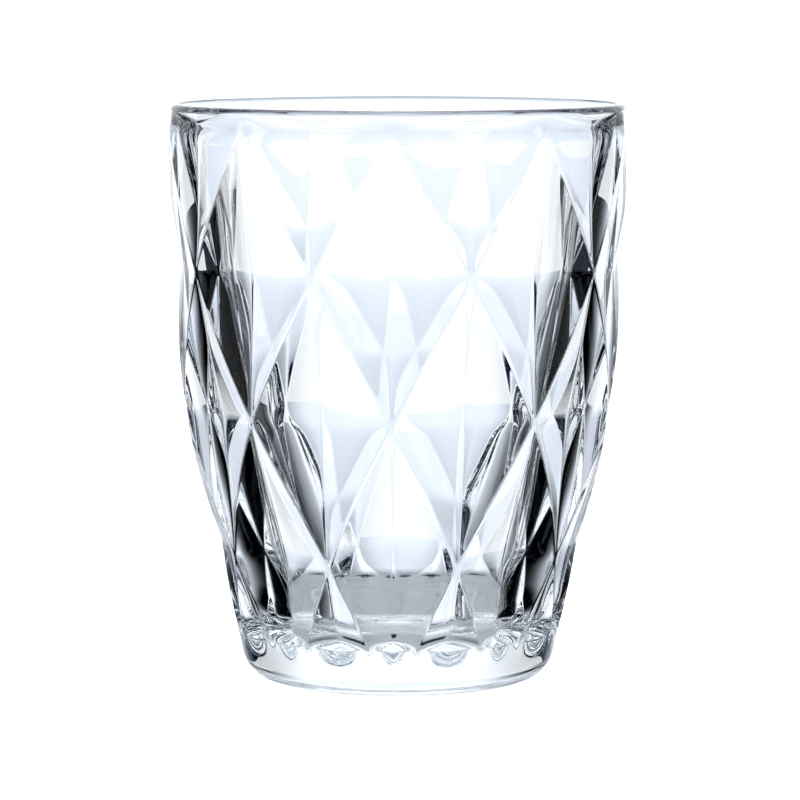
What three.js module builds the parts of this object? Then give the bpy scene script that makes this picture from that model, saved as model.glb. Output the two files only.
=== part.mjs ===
// Pressed-glass whiskey tumbler, one solid of clear glass.
//
// Units are millimetres and +Z is up. The origin is the centre of the underside, on the surface that
// the tumbler stands on. The front is -Y, and one crossing of the diamond lattice faces the front.
//
// The outside is a barrel of revolution cut with staggered long diamonds. Ridges run along the edges
// of the diamonds, where the glass keeps the barrel's full radius, and each diamond is a shallow
// four-sided hollow with its lowest point in the middle. The diamonds are deepest at the foot and
// shallowest near the rim. The inside is a smooth bore of revolution.

import * as THREE from 'three';

// ---- Driving dimensions ----

const HEIGHT = 100;
const DIAMONDS_AROUND = 9;
const ROW_PITCH = 24.5; // height from one row of crossings to the next
const LOWEST_ROW = 22.9; // height of the lowest full row of crossings

// At the row below the base, at the three full rows of crossings and at the row near the rim:
const BARREL_RADII = [25.3, 31.6, 36.9, 38.85, 39.8];
const ROW_DEPTHS = [3.5, 3.5, 3, 2.5, 1]; // from the barrel to the middle of a diamond

const UPRIGHT_CREASE = 0.03; // rounding of the creases up and across a diamond, in lattice steps
const LEVEL_CREASE = 0.04;
const FACET_HOLLOW = 0.4; // how far the facets sag, as a share of their slope
const FOOT_HEIGHT = 8.4; // the diamonds stop here, above the plain foot
const FILLET_HEIGHT = 2.8; // the rounding from the foot's edge into a diamond
const SHOULDER_LOW = 94.8; // the barrel draws in a little under the lip
const SHOULDER_HIGH = 98.2;
const SHOULDER_DROP = 0.6;

const HEEL_RADIUS = 6; // rounding between the side and the underside
const CONTACT_RADIUS = 21.2; // outer radius of the flat ring that the tumbler stands on
const PUNT_RADIUS = 15; // the underside is hollowed inside this radius
const PUNT_DEPTH = 1.2;

const NECK_HEIGHT = 97.8; // the side ends here, under the fire-polished lip
const LIP_RADIUS = 39.3;
const LIP_WALL = 1.9;

// Bore radius at even heights, from just above the floor to just under the lip.
const BORE_HEIGHTS = [12, 33.5, 55, 76.5, 98];
const BORE_RADII = [23.7, 29.5, 33.3, 35.4, 37];
const FLOOR_HEIGHT = 7.5; // thickness of the glass under the drink
const FLOOR_CORNER = 8.5;

// ---- Mesh fineness ----

const COLUMNS = 72;
const STEPS_PER_ROW = 4;
const ARC_STEPS = 6;
const CHORD_ALLOWANCE = 0.05; // keeps the flat little faces from cutting inside the round barrel

// ---- Shape of the barrel and of the diamonds ----

const HALF_PITCH = Math.PI / DIAMONDS_AROUND; // angle from a crossing to the next diamond's middle
const ROW_HEIGHTS = BARREL_RADII.map((radius, row) => LOWEST_ROW + (row - 1) * ROW_PITCH);

const barrelCurve = new THREE.CubicInterpolant(ROW_HEIGHTS, BARREL_RADII, 1);
const boreCurve = new THREE.CubicInterpolant(BORE_HEIGHTS, BORE_RADII, 1);

const boreRadius = (height) => boreCurve.evaluate(height)[0];

function barrelRadius(height) {
	const shoulder = THREE.MathUtils.smoothstep(height, SHOULDER_LOW, SHOULDER_HIGH);
	return barrelCurve.evaluate(height)[0] - SHOULDER_DROP * shoulder + CHORD_ALLOWANCE;
}

// Steps of the lattice from the lowest row of the barrel curve.
const rowsUp = (height) => (height - LOWEST_ROW) / ROW_PITCH + 1;

// Distance from the nearest even number: 0 on a ridge, 1 half-way between two ridges.
function distanceFromRidge(value) {
	return Math.abs(value - 2 * Math.round(value / 2));
}

// Place between two ridges, from -1 on the one to 1 on the other.
function placeBetweenRidges(value) {
	return THREE.MathUtils.euclideanModulo(value, 2) - 1;
}

// 0 on the ridges and nearly 1 in the middle of a diamond.
function hollow(angle, height) {
	const rising = placeBetweenRidges(rowsUp(height) + angle / HALF_PITCH);
	const falling = placeBetweenRidges(rowsUp(height) - angle / HALF_PITCH);
	const sideways = Math.hypot((rising - falling) / 2, UPRIGHT_CREASE);
	const upwards = Math.hypot((rising + falling) / 2, LEVEL_CREASE);
	const share = Math.max(1 - sideways - upwards, 0);
	return share + FACET_HOLLOW * share * (1 - share);
}

function reliefDepth(angle, height) {
	const row = THREE.MathUtils.clamp(Math.floor(rowsUp(height)), 0, ROW_DEPTHS.length - 2);
	const depth = THREE.MathUtils.lerp(ROW_DEPTHS[row], ROW_DEPTHS[row + 1], rowsUp(height) - row);
	const above = THREE.MathUtils.clamp((height - FOOT_HEIGHT) / FILLET_HEIGHT, 0, 1);
	return depth * above * (2 - above) * hollow(angle, height);
}

// ---- Profile, from the middle of the underside round to the middle of the floor ----

function arc(centreRadius, centreHeight, radius, startAngle, endAngle) {
	const points = [];
	for (let step = 0; step <= ARC_STEPS; step += 1) {
		const angle = THREE.MathUtils.lerp(startAngle, endAngle, step / ARC_STEPS);
		const x = centreRadius + radius * Math.cos(angle);
		points.push(new THREE.Vector2(x, centreHeight + radius * Math.sin(angle)));
	}
	return points;
}

function undersideProfile() {
	return [
		new THREE.Vector2(0, PUNT_DEPTH),
		new THREE.Vector2(PUNT_RADIUS - PUNT_DEPTH * 2, PUNT_DEPTH),
		new THREE.Vector2(PUNT_RADIUS, 0),
	];
}

function heelProfile() {
	const slope = Math.atan2(
		barrelRadius(FOOT_HEIGHT) - CONTACT_RADIUS - HEEL_RADIUS,
		FOOT_HEIGHT - HEEL_RADIUS,
	);
	return arc(CONTACT_RADIUS, HEEL_RADIUS, HEEL_RADIUS, -Math.PI / 2, -Math.max(slope, 0));
}

// The relief rows, where every crossing and every diamond's middle falls on a vertex, with a few more
// heights for the fillet at the foot and the shoulder under the lip.
function sideProfile() {
	const heights = [FOOT_HEIGHT, FOOT_HEIGHT + FILLET_HEIGHT / 3, SHOULDER_LOW, NECK_HEIGHT];
	const step = ROW_PITCH / STEPS_PER_ROW;
	for (let height = LOWEST_ROW - 2 * step; height < NECK_HEIGHT; height += step) {
		heights.push(height);
	}
	heights.sort((low, high) => low - high);
	return heights.map((height) => new THREE.Vector2(barrelRadius(height), height));
}

function lipProfile() {
	const radius = LIP_WALL / 2;
	return arc(LIP_RADIUS - radius, HEIGHT - radius, radius, 0, Math.PI);
}

function boreProfile() {
	const points = [];
	const floorEdge = FLOOR_HEIGHT + FLOOR_CORNER;
	for (let step = 0; step <= 10; step += 1) {
		const height = THREE.MathUtils.lerp(BORE_HEIGHTS.at(-1), floorEdge, step / 10);
		points.push(new THREE.Vector2(boreRadius(height), height));
	}
	const corner = boreRadius(floorEdge) - FLOOR_CORNER;
	points.push(...arc(corner, floorEdge, FLOOR_CORNER, 0, -Math.PI / 2).slice(1));
	points.push(new THREE.Vector2(0, FLOOR_HEIGHT));
	return points;
}

// ---- The solid ----

function tumblerGeometry() {
	const side = sideProfile();
	const before = [...undersideProfile(), ...heelProfile()];
	const profile = [...before, ...side, ...lipProfile(), ...boreProfile()];
	const geometry = new THREE.LatheGeometry(profile, COLUMNS);
	const position = geometry.attributes.position;
	const firstRow = before.length;
	const lastRow = firstRow + side.length;

	// Press the diamonds in.
	for (let column = 0; column <= COLUMNS; column += 1) {
		const angle = (column / COLUMNS) * 2 * Math.PI;
		for (let row = firstRow; row < lastRow; row += 1) {
			const index = column * profile.length + row;
			const radius = profile[row].x - reliefDepth(angle, profile[row].y);
			position.setX(index, radius * Math.sin(angle));
			position.setZ(index, radius * Math.cos(angle));
		}
	}

	// Turn each quad's diagonal along the ridge that crosses it.
	const indices = geometry.index;
	let offset = 0;
	for (let column = 0; column < COLUMNS; column += 1) {
		for (let row = 0; row < profile.length - 1; row += 1) {
			const angle = ((column + 0.5) / COLUMNS) * 2 * Math.PI;
			const height = (profile[row].y + profile[row + 1].y) / 2;
			const across = angle / HALF_PITCH;
			const up = rowsUp(height);
			const rising = distanceFromRidge(up - across) < distanceFromRidge(up + across);
			const onSide = row >= firstRow && row < lastRow - 1;
			if (onSide && rising) {
				const base = row + column * profile.length;
				const next = base + profile.length;
				const quad = [base, next, next + 1, base, next + 1, base + 1];
				quad.forEach((vertex, k) => indices.setX(offset + k, vertex));
			}
			offset += 6;
		}
	}
	geometry.rotateX(Math.PI / 2);
	geometry.computeVertexNormals();
	return geometry;
}

const clearGlass = new THREE.MeshStandardMaterial({
	color: 0xeef4fb,
	roughness: 0.02,
	metalness: 0,
	transparent: true,
	opacity: 0.35,
});

const tumblerBody = new THREE.Mesh(tumblerGeometry(), clearGlass);
tumblerBody.name = 'tumbler_body';

const tumbler = new THREE.Group();
tumbler.name = 'whiskey_tumbler';
tumbler.add(tumblerBody);

export default tumbler;
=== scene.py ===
# %% [markdown]
# # A pressed-glass whiskey tumbler
#
# The real tumbler is one piece of clear soda-lime glass. A plunger presses a gob of hot glass into a mould:
# the mould gives the outside its long staggered diamonds, and the plunger gives the inside its smooth bore.
# A flame then melts the sharp upper edge into a round lip.
#
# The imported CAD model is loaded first. It fixes the size and the place of everything below: metres, +Z up,
# with the tumbler standing on Z = 0 and its middle on the Z axis.

# %% Load the frame
import math

import bpy
import numpy as np
from mathutils import Matrix, Vector


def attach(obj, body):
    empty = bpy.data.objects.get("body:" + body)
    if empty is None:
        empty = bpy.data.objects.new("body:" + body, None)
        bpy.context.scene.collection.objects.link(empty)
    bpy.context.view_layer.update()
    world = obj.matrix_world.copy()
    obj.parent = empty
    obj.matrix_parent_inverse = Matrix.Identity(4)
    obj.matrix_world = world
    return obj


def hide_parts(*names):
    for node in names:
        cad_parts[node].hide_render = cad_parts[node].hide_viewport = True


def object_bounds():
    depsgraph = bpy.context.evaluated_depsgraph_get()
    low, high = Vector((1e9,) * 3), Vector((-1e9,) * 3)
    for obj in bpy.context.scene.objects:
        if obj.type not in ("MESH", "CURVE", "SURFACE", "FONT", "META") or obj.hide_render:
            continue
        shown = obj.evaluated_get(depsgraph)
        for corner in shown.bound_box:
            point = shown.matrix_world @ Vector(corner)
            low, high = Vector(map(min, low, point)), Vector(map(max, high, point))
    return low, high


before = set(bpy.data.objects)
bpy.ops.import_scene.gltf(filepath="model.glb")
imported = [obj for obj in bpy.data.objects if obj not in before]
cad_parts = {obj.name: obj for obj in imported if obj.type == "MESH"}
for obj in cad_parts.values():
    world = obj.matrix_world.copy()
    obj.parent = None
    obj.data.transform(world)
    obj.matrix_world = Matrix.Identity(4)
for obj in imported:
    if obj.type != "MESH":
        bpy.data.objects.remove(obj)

MM = 0.001
cad_low, cad_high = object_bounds()
height = cad_high.z - cad_low.z
print("the frame's nodes:", sorted(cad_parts))
print("the CAD box in mm:", [round(side / MM, 2) for side in cad_high - cad_low])

# %% [markdown]
# ## The camera
#
# A long lens from about 0.8 m keeps the sides of a small glass nearly parallel, as is usual for glassware.
# It looks slightly down, so that the rim reads as a thin ellipse. The camera stands a little to the
# right of the lattice crossing that faces the front, which shows the pattern from its slightly turned side.

# %% Camera
CAMERA_DISTANCE = 0.7826
CAMERA_ABOVE = math.radians(5.7)
CAMERA_ROUND = math.radians(1.8)
AIM_HEIGHT = 48.45 * MM
NEAREST_SEEN = 10 * MM
SENSOR_WIDTH = 36
LENS_LENGTH = 202.5
LENS_SHIFT = 0.0025  # a share of the sensor's width


def add_camera():
    """A camera on a sphere round the aim point, which is on the axis of the glass."""
    back = Vector((
        math.sin(CAMERA_ROUND) * math.cos(CAMERA_ABOVE),
        -math.cos(CAMERA_ROUND) * math.cos(CAMERA_ABOVE),
        math.sin(CAMERA_ABOVE),
    ))
    bpy.ops.object.camera_add(location=Vector((0, 0, AIM_HEIGHT)) + back * CAMERA_DISTANCE)
    camera = bpy.context.object
    camera.name = "camera"
    camera.rotation_euler = (-back).to_track_quat("-Z", "Y").to_euler()
    camera.data.sensor_width = SENSOR_WIDTH
    camera.data.lens = LENS_LENGTH
    camera.data.shift_x = LENS_SHIFT
    camera.data.clip_start = NEAREST_SEEN
    bpy.context.scene.camera = camera
    bpy.context.view_layer.update()
    return camera


camera = add_camera()
print("camera at", [round(value, 3) for value in camera.location])

# %% [markdown]
# ## The barrel and the bore
#
# Both are surfaces of revolution, and a few radii give each of them. The barrel is the surface that the
# mould had before its diamonds were cut: it starts narrow at the foot, opens quickly, and stands almost
# upright at the rim. The bore follows it at a distance, so the wall is thick at the foot and thin at the
# lip.
#
# A smooth curve runs through the radii. Its slope at each of them is the mean of the slopes on both sides,
# and at the first and the last it is the slope of the stretch there.

# %% Curves through a few radii
DIAMONDS_AROUND = 9
ROW_PITCH = 24.5 * MM
LOWEST_ROW = 22.9 * MM
BARREL_RADII = np.array([25.3, 31.6, 36.9, 38.85, 39.8]) * MM
BORE_LOW = 12 * MM
BORE_HIGH = 98 * MM
BORE_RADII = np.array([23.7, 29.5, 33.3, 35.4, 37.0]) * MM
SHOULDER_LOW = 94.8 * MM
SHOULDER_HIGH = 98.2 * MM
SHOULDER_DROP = 0.6 * MM

row_heights = LOWEST_ROW + ROW_PITCH * (np.arange(len(BARREL_RADII)) - 1)
bore_heights = np.linspace(BORE_LOW, BORE_HIGH, len(BORE_RADII))


def smooth_curve(heights, radii):
    """The radius at any height: a cubic between each two of the given ones."""
    slopes = np.gradient(radii, heights)

    def radius_at(z):
        k = np.clip(np.searchsorted(heights, z) - 1, 0, len(heights) - 2)
        span = heights[k + 1] - heights[k]
        t = (z - heights[k]) / span
        rise = radii[k + 1] - radii[k]
        start = slopes[k] * span
        end = slopes[k + 1] * span
        return radii[k] + start * t + (3 * rise - 2 * start - end) * t**2 + (start + end - 2 * rise) * t**3

    return radius_at


def smooth_step(value, low, high):
    """0 up to low, 1 from high, and a smooth rise between them."""
    t = np.clip((value - low) / (high - low), 0, 1)
    return t * t * (3 - 2 * t)


barrel_curve = smooth_curve(row_heights, BARREL_RADII)
bore_radius = smooth_curve(bore_heights, BORE_RADII)


def barrel_radius(z):
    """The barrel, drawn in a little under the lip."""
    return barrel_curve(z) - SHOULDER_DROP * smooth_step(z, SHOULDER_LOW, SHOULDER_HIGH)


for z in (20 * MM, 50 * MM, 80 * MM):
    wall = barrel_radius(z) - bore_radius(z)
    print(f"at {z / MM:.0f} mm: barrel {barrel_radius(z) / MM:.1f}, wall on a ridge {wall / MM:.1f} mm")

# %% [markdown]
# ## The section
#
# Half of the glass is drawn as one line in the XZ plane, from the middle of the underside, round the foot,
# up the side, over the lip, and down the bore to the middle of the floor. Spinning that line about the Z
# axis gives the whole closed solid, as it would on a wheel.
#
# The side gets a point at every small step of the lattice, so that later each ridge of a diamond runs
# exactly from corner to corner of the little faces. The rest of the line has only the points that its
# curves need.

# %% Parts of the section
STEPS_PER_ROW = 30
FOOT_RADIUS = 21.2 * MM
HEEL_RADIUS = 6 * MM
PUNT_RADIUS = 15 * MM
PUNT_DEPTH = 1.2 * MM
FOOT_HEIGHT = 8.4 * MM
FILLET_HEIGHT = 2.8 * MM
NECK_HEIGHT = 97.8 * MM
LIP_RADIUS = 39.3 * MM
LIP_WALL = 1.9 * MM
FLOOR_HEIGHT = 7.5 * MM
FLOOR_CORNER = 8.5 * MM
LIP_START = -math.pi / 8  # the lip starts a little below its own middle

# How many straight steps make each curve:
UNDERSIDE_STEPS = 8
HEEL_STEPS = 12
LIP_STEPS = 18
BORE_STEPS = 35
CORNER_STEPS = 12


def arc(centre, radius, start, end, steps):
    """Points along an arc in the XZ plane, with angles from +X towards +Z."""
    angles = np.linspace(start, end, steps + 1)
    return [(centre[0] + radius * math.cos(a), centre[1] + radius * math.sin(a)) for a in angles]


def underside():
    """A shallow dome, so that the tumbler stands on a ring."""
    shares = np.linspace(0, 1, UNDERSIDE_STEPS + 1)
    return [(PUNT_RADIUS * s, PUNT_DEPTH * (1 - s * s) ** 2) for s in shares]


def heel():
    """The rounding from the ring that the tumbler stands on to the side of the foot."""
    reach = barrel_radius(FOOT_HEIGHT) - FOOT_RADIUS - HEEL_RADIUS
    slope = math.atan2(reach, FOOT_HEIGHT - HEEL_RADIUS)
    centre = (FOOT_RADIUS, HEEL_RADIUS)
    return arc(centre, HEEL_RADIUS, -math.pi / 2, -max(slope, 0), HEEL_STEPS)


def side():
    """The barrel from the edge of the foot to the lip, in small steps of the lattice."""
    step = ROW_PITCH / STEPS_PER_ROW
    first = LOWEST_ROW - step * math.floor((LOWEST_ROW - FOOT_HEIGHT) / step)
    edge = [FOOT_HEIGHT, (FOOT_HEIGHT + first) / 2] if first > FOOT_HEIGHT else []
    rows = np.arange(first, NECK_HEIGHT, step)
    return [(float(barrel_radius(z)), float(z)) for z in [*edge, *rows]]


def lip():
    """The fire-polished bead, whose top is the top of the glass."""
    radius = LIP_WALL / 2
    return arc((LIP_RADIUS - radius, height - radius), radius, LIP_START, math.pi, LIP_STEPS)


def bore():
    """The inside, down to the rounded corner of the floor."""
    corner_height = FLOOR_HEIGHT + FLOOR_CORNER
    heights = np.linspace(BORE_HIGH, corner_height, BORE_STEPS + 1)
    wall = [(float(bore_radius(z)), float(z)) for z in heights]
    centre = (wall[-1][0] - FLOOR_CORNER, corner_height)
    corner = arc(centre, FLOOR_CORNER, 0, -math.pi / 2, CORNER_STEPS)
    return [*wall, *corner[1:], (centre[0] / 2, FLOOR_HEIGHT), (0, FLOOR_HEIGHT)]


section = [*underside(), *heel(), *side(), *lip(), *bore()]
print("points in the section:", len(section))

# %% Draw the section and spin it
COLUMNS = 2 * DIAMONDS_AROUND * STEPS_PER_ROW
WELD_DISTANCE = 0.005 * MM


def draw_line(points, name):
    """A mesh line, drawn by extruding one vertex from point to point."""
    bpy.ops.object.select_all(action="DESELECT")
    bpy.ops.mesh.primitive_circle_add(vertices=3, radius=MM)
    line = bpy.context.object
    line.name = name
    line.data.name = name
    bpy.ops.object.mode_set(mode="EDIT")
    bpy.ops.mesh.merge(type="CENTER")
    bpy.ops.transform.translate(value=(points[0][0], 0, points[0][1]))
    for start, end in zip(points, points[1:]):
        bpy.ops.mesh.extrude_region_move(
            TRANSFORM_OT_translate={"value": (end[0] - start[0], 0, end[1] - start[1])}
        )
    bpy.ops.object.mode_set(mode="OBJECT")
    return line


def spin_solid(line, columns):
    """Spins the line round the Z axis, and closes its seam and its two poles."""
    bpy.ops.object.mode_set(mode="EDIT")
    bpy.ops.mesh.select_all(action="SELECT")
    bpy.ops.mesh.spin(steps=columns, angle=2 * math.pi, center=(0, 0, 0), axis=(0, 0, 1))
    bpy.ops.mesh.select_all(action="SELECT")
    bpy.ops.mesh.remove_doubles(threshold=WELD_DISTANCE)
    bpy.ops.mesh.normals_make_consistent(inside=False)
    bpy.ops.object.mode_set(mode="OBJECT")


tumbler = draw_line(section, "tumbler_glass")
spin_solid(tumbler, COLUMNS)
print("vertices after the spin:", len(tumbler.data.vertices))

# %% [markdown]
# ## The diamonds
#
# Nine diamonds go round the glass, and each row of them sits half a diamond over from the next. Their edges
# are ridges that keep the barrel's full radius. Between the ridges four facets fall to the middle of the
# diamond, and they meet in a crease up the middle and a crease across it.
#
# The ridges cross the wall on a slant and every facet is slightly hollow, which no single edit-mode tool
# makes. So the smooth side is pressed in by a formula instead, as the mould does it: each vertex of the side
# moves towards the axis by the depth of the diamond at its place.

# %% Press the diamonds in
ROW_DEPTHS = np.array([3.5, 3.5, 3.0, 2.5, 1.0]) * MM
UPRIGHT_CREASE = 0.03  # the rounding of a crease, in lattice steps
LEVEL_CREASE = 0.04
FACET_HOLLOW = 0.4  # how far a facet sags, as a share of its slope
BARREL_MARGIN = 0.01 * MM  # a vertex this close to the barrel is on the side
half_pitch = math.pi / DIAMONDS_AROUND


def rounded(value, softness):
    """The distance from a crease, rounded at the crease itself."""
    return np.sqrt(value**2 + softness**2)


def diamond_share(angle, z):
    """How deep a place is: 0 on the ridges and about 1 in the middle of a diamond."""
    across = angle / half_pitch
    up = (z - LOWEST_ROW) / ROW_PITCH + 1
    rising = np.mod(up + across, 2) - 1
    falling = np.mod(up - across, 2) - 1
    sideways = (rising - falling) / 2
    upwards = (rising + falling) / 2
    share = 1 - rounded(sideways, UPRIGHT_CREASE) - rounded(upwards, LEVEL_CREASE)
    share = np.maximum(share, 0)
    return share + FACET_HOLLOW * share * (1 - share)


def relief_depth(angle, z):
    """The depth of the pressed pattern at an angle from the front and a height."""
    depth = np.interp(z, row_heights, ROW_DEPTHS)
    above_foot = np.clip((z - FOOT_HEIGHT) / FILLET_HEIGHT, 0, 1)
    return depth * above_foot * (2 - above_foot) * diamond_share(angle, z)


def press_diamonds(glass):
    """Moves the vertices of the side towards the axis."""
    places = np.empty(len(glass.data.vertices) * 3)
    glass.data.vertices.foreach_get("co", places)
    x, y, z = places.reshape(-1, 3).T
    radius = np.hypot(x, y)
    on_side = np.abs(radius - barrel_radius(z)) < BARREL_MARGIN
    on_side &= (z > FOOT_HEIGHT) & (z < NECK_HEIGHT)
    depth = np.where(on_side, relief_depth(np.arctan2(x, -y), z), 0)
    share = 1 - depth / np.maximum(radius, MM)
    glass.data.vertices.foreach_set("co", np.stack([x * share, y * share, z], axis=1).ravel())
    glass.data.update()
    return depth


depth = press_diamonds(tumbler)
print(f"deepest point of a diamond: {depth.max() / MM:.2f} mm")

# %% [markdown]
# Each small four-sided face is still split in two when it is drawn. Split the wrong way, a ridge would look
# like a saw. So the faces are cut here, along the ridges that rise to the right and those that fall.

# %% Cut each face along its ridge
def select_faces(mesh, chosen):
    """Selects exactly the faces whose middle passes the test, which gets arrays x, y and z."""
    centres = np.empty(len(mesh.polygons) * 3)
    mesh.polygons.foreach_get("center", centres)
    mesh.vertices.foreach_set("select", np.zeros(len(mesh.vertices), bool))
    mesh.edges.foreach_set("select", np.zeros(len(mesh.edges), bool))
    mesh.polygons.foreach_set("select", chosen(*centres.reshape(-1, 3).T))


def ridge_rises(x, y, z):
    """Whether the nearest ridge rises to the right, seen from outside the glass."""
    across = np.arctan2(x, -y) / half_pitch
    up = (z - LOWEST_ROW) / ROW_PITCH + 1
    to_rising = np.abs(np.mod(up - across + 1, 2) - 1)
    to_falling = np.abs(np.mod(up + across + 1, 2) - 1)
    return to_rising < to_falling


def cut_faces(glass, chosen, method):
    """Cuts the chosen four-sided faces in two, all in the same direction."""
    select_faces(glass.data, chosen)
    bpy.ops.object.mode_set(mode="EDIT")
    bpy.ops.mesh.quads_convert_to_tris(quad_method=method)
    bpy.ops.object.mode_set(mode="OBJECT")


cut_faces(tumbler, ridge_rises, "FIXED_ALTERNATE")
cut_faces(tumbler, lambda x, y, z: ~ridge_rises(x, y, z), "FIXED")
bpy.ops.object.shade_smooth()
print("triangles:", len(tumbler.data.polygons))

# %% [markdown]
# ## Clear glass
#
# Clear glass is nearly all refraction: one smooth dielectric with the index of soda-lime glass. What makes
# it look real is small. Pressing and cooling leave the skin very slightly wavy, the foot is scuffed where
# it stands, and the glass itself takes a little red out of light that travels far through it.
#
# The waves are a bump of about a hundredth of a millimetre at most, so slow that they only bend what is
# seen through the wall. The scuffs are roughness on the ring of contact. The tint is a volume absorption.

# %% A wrapper for shader sockets
class Signal:
    """A socket of a shader node. Sums and products of signals add Math nodes to its tree."""

    def __init__(self, tree, socket=None):
        self.tree = tree
        self.socket = socket

    def node(self, kind, output=0, settings=None, inputs=None):
        """Adds a node of any kind, with its settings and its sockets' values or links."""
        made = self.tree.nodes.new(kind)
        for name, value in (settings or {}).items():
            setattr(made, name, value)
        for name, value in (inputs or {}).items():
            if isinstance(value, Signal):
                self.tree.links.new(value.socket, made.inputs[name])
            else:
                made.inputs[name].default_value = value
        return None if output is None else Signal(self.tree, made.outputs[output])

    def math(self, operation, first, second=0.0):
        return self.node("ShaderNodeMath", 0, {"operation": operation}, {0: first, 1: second})

    def __add__(self, other):
        return self.math("ADD", self, other)

    def __sub__(self, other):
        return self.math("SUBTRACT", self, other)

    def __rsub__(self, other):
        return self.math("SUBTRACT", other, self)

    def __mul__(self, other):
        return self.math("MULTIPLY", self, other)

    __radd__ = __add__
    __rmul__ = __mul__

    def between(self, low, high):
        """0 below low, 1 above high, and a smooth step between them."""
        limits = {"Value": self, "From Min": low, "From Max": high}
        return self.node("ShaderNodeMapRange", 0, {"interpolation_type": "SMOOTHSTEP"}, limits)


# %% The glass
GLASS_INDEX = 1.52
GLASS_TINT = (0.86, 0.95, 1, 1)
TINT_DENSITY = 4.0
WAVE_SCALE = 70.0
WAVE_HEIGHT = 0.012 * MM
RIPPLE_SCALE = 260.0
RIPPLE_HEIGHT = 0.001 * MM
GRAIN_SCALE = 1500.0
SCUFF_ROUGHNESS = 0.35
SCUFF_FULL = 0.05 * MM  # scuffed fully up to this height, and not at all from the next
SCUFF_END = 0.4 * MM


def clear_glass():
    material = bpy.data.materials.new("clear_pressed_glass")
    material.use_nodes = True
    tree = material.node_tree
    tree.nodes.clear()
    start = Signal(tree)
    place = start.node("ShaderNodeTexCoord", "Object")
    high = start.node("ShaderNodeSeparateXYZ", "Z", None, {0: place})

    coarse = {"Vector": place, "Scale": WAVE_SCALE, "Detail": 1.0}
    fine = {"Vector": place, "Scale": RIPPLE_SCALE, "Detail": 0.0}
    waves = start.node("ShaderNodeTexNoise", 0, None, coarse)
    ripples = start.node("ShaderNodeTexNoise", 0, None, fine)
    skin = waves * WAVE_HEIGHT + ripples * RIPPLE_HEIGHT
    bump = start.node("ShaderNodeBump", 0, None, {"Height": skin, "Distance": 1.0})

    rubbed = {"Vector": place, "Scale": GRAIN_SCALE, "Detail": 3.0}
    grain = start.node("ShaderNodeTexNoise", 0, None, rubbed)
    at_foot = 1 - high.between(SCUFF_FULL, SCUFF_END)
    scuffs = grain.between(0.4, 0.7) * at_foot * SCUFF_ROUGHNESS

    surface = start.node("ShaderNodeBsdfPrincipled", 0, None, {
        "Base Color": (1, 1, 1, 1),
        "Transmission Weight": 1.0,
        "IOR": GLASS_INDEX,
        "Roughness": scuffs,
        "Normal": bump,
    })
    absorbed = {"Color": GLASS_TINT, "Density": TINT_DENSITY}
    tint = start.node("ShaderNodeVolumeAbsorption", 0, None, absorbed)
    start.node("ShaderNodeOutputMaterial", None, None, {"Surface": surface, "Volume": tint})
    return material


tumbler.data.materials.append(clear_glass())
print("materials on the tumbler:", [material.name for material in tumbler.data.materials])

# %% [markdown]
# ## The studio
#
# Glass has no colour of its own to show, so it is lit by what stands round it. In bright-field light a white
# backdrop behind the glass fills it, and dim blue surroundings beyond the backdrop's edges draw its dark
# lines. A grey table below gives the lower facets their tone, and a panel overhead lights the thick foot.
#
# The cards hang on the camera, so that they keep their places behind the glass from every side, as when a
# glass is turned and the lights are left alone.
#
# Lengths on the cards are metres, measured sideways from the middle or up from the table top. The display
# gamma is below 1, which deepens the dark tones of the picture and changes nothing in the glass.

# %% Cards round the glass
CARD_DISTANCE = 0.6
CARD_COLUMNS = 24
CARD_ROWS = 16
HORIZON = -4  # degrees, where the backdrop meets the table
PANEL_EDGE = 50  # degrees, where the backdrop meets the overhead panel

BACKDROP_COLOUR = (0.94, 0.97, 1)
BACKDROP_LIGHT = 1.32
BACKDROP_LOSS = 0.4
BACKDROP_EVEN = 0.15
BACKDROP_DIM = 0.4

PANEL_COLOUR = (0.9, 0.95, 1)
PANEL_LIGHT = 1.8

TABLE_COLOUR = (0.85, 0.91, 1.0)
TABLE_LIGHT = 0.6
TABLE_GAIN = 0.68
TABLE_LOW = -0.30
TABLE_EVEN = 0.2
TABLE_DARK = 0.44


def card(name, azimuths, elevations, colour, light, seen=False):
    """A part of a sphere round the glass, in degrees from straight behind it and from the horizon."""
    around = np.radians(np.linspace(*azimuths, CARD_COLUMNS + 1)) - CAMERA_ROUND
    up = np.radians(np.linspace(*elevations, CARD_ROWS + 1))
    points = [
        (math.cos(e) * math.sin(a), math.cos(e) * math.cos(a), math.sin(e))
        for e in up for a in around
    ]
    wide = len(around)
    faces = [
        (row * wide + k, row * wide + k + 1, (row + 1) * wide + k + 1, (row + 1) * wide + k)
        for row in range(len(up) - 1) for k in range(wide - 1)
    ]
    mesh = bpy.data.meshes.new(name)
    mesh.from_pydata([Vector(point) * CARD_DISTANCE for point in points], [], faces)
    mesh.transform(Matrix.Translation((0, 0, AIM_HEIGHT)))
    made = bpy.data.objects.new(name, mesh)
    bpy.context.scene.collection.objects.link(made)

    material = bpy.data.materials.new(name)
    material.use_nodes = True
    tree = material.node_tree
    tree.nodes.clear()
    start = Signal(tree)
    place = start.node("ShaderNodeTexCoord", "Object")
    right = start.node("ShaderNodeSeparateXYZ", "X", None, {0: place})
    high = start.node("ShaderNodeSeparateXYZ", "Z", None, {0: place})
    strength = light(start.math("ABSOLUTE", right), high)
    glow = start.node("ShaderNodeEmission", 0, None, {"Color": (*colour, 1), "Strength": strength})
    start.node("ShaderNodeOutputMaterial", None, None, {"Surface": glow})
    mesh.materials.append(material)

    made.visible_camera = seen
    made.visible_shadow = False
    made.parent = camera
    made.matrix_parent_inverse = camera.matrix_world.inverted()
    return made


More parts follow.
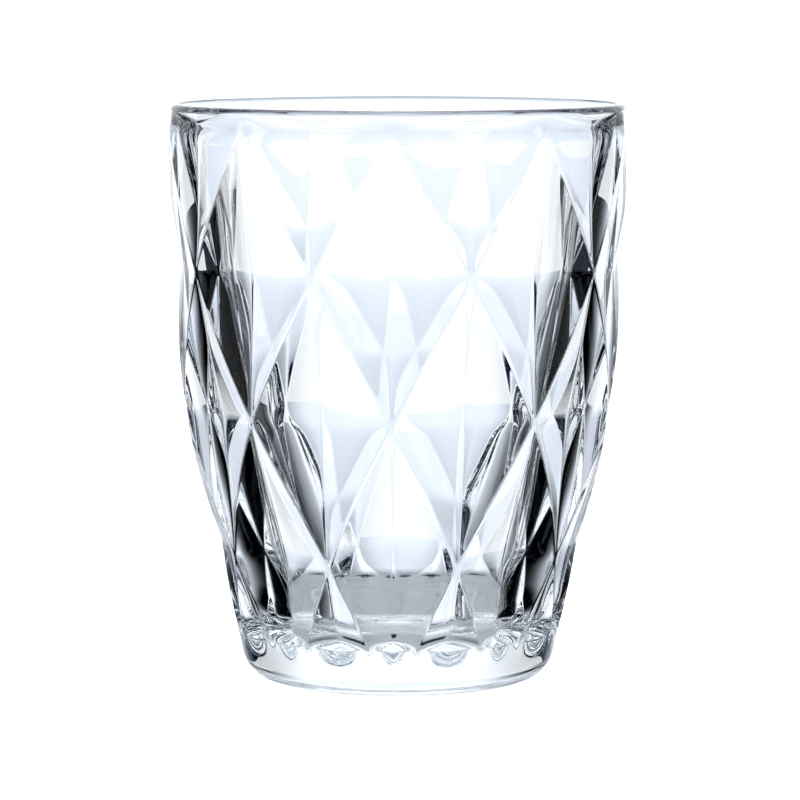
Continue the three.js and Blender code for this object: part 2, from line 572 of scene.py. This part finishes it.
def backdrop_light(aside, high):
    """Bright in the middle, and less so towards the sides."""
    return BACKDROP_LIGHT - BACKDROP_LOSS * aside.between(BACKDROP_EVEN, BACKDROP_DIM)


def overhead_light(aside, high):
    """A large even panel over the table."""
    return PANEL_LIGHT


def table_light(aside, high):
    """The table is palest far behind the glass, and falls off towards its own sides."""
    far = high.between(TABLE_LOW, 0) * TABLE_GAIN + TABLE_LIGHT
    return far * (1 - aside.between(TABLE_EVEN, TABLE_DARK))


cards = [
    card("white_backdrop", (-55, 55), (HORIZON, PANEL_EDGE), BACKDROP_COLOUR, backdrop_light, seen=True),
    card("overhead_light", (-180, 180), (PANEL_EDGE, 89), PANEL_COLOUR, overhead_light),
    card("grey_table", (-88, 88), (-80, HORIZON), TABLE_COLOUR, table_light),
]
print("cards:", [made.name for made in cards])

# %% Floor and surroundings
FLOOR_SIZE = 6
FLOOR_GAP = 0.02 * MM
SURROUNDINGS_COLOUR = (0.2, 0.45, 1.0)
SURROUNDINGS_LIGHT = 0.035
DISPLAY_GAMMA = 0.8
LIGHT_BOUNCES = 24
GLOSSY_BOUNCES = 16


def add_floor():
    """A pale floor under the glass. The glass itself is lit by the cards, not by the floor."""
    bpy.ops.object.select_all(action="DESELECT")
    bpy.ops.mesh.primitive_plane_add(size=FLOOR_SIZE, location=(0, 0, -FLOOR_GAP))
    floor = bpy.context.object
    floor.name = "floor"
    material = bpy.data.materials.new("pale_floor")
    material.use_nodes = True
    tree = material.node_tree
    tree.nodes.clear()
    start = Signal(tree)
    glowing = start.node("ShaderNodeBsdfPrincipled", 0, None, {
        "Base Color": (0.8, 0.8, 0.8, 1),
        "Roughness": 0.7,
        "Emission Color": (1, 1, 1, 1),
        "Emission Strength": 1.0,
    })
    start.node("ShaderNodeOutputMaterial", None, None, {"Surface": glowing})
    floor.data.materials.append(material)
    floor.visible_transmission = False
    floor.visible_glossy = False
    return floor


def surroundings(colour, strength):
    """An even dim light from every side that no card covers."""
    world = bpy.data.worlds.new("dim_studio")
    world.use_nodes = True
    background = world.node_tree.nodes["Background"]
    background.inputs["Color"].default_value = (*colour, 1)
    background.inputs["Strength"].default_value = strength
    bpy.context.scene.world = world


add_floor()
surroundings(SURROUNDINGS_COLOUR, SURROUNDINGS_LIGHT)
scene = bpy.context.scene
scene.view_settings.view_transform = "Standard"
scene.view_settings.gamma = DISPLAY_GAMMA
scene.cycles.max_bounces = LIGHT_BOUNCES
scene.cycles.transmission_bounces = LIGHT_BOUNCES
scene.cycles.glossy_bounces = GLOSSY_BOUNCES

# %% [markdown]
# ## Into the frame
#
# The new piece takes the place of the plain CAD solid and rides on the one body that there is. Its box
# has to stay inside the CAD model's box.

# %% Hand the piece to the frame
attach(tumbler, "root")
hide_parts("tumbler_body")
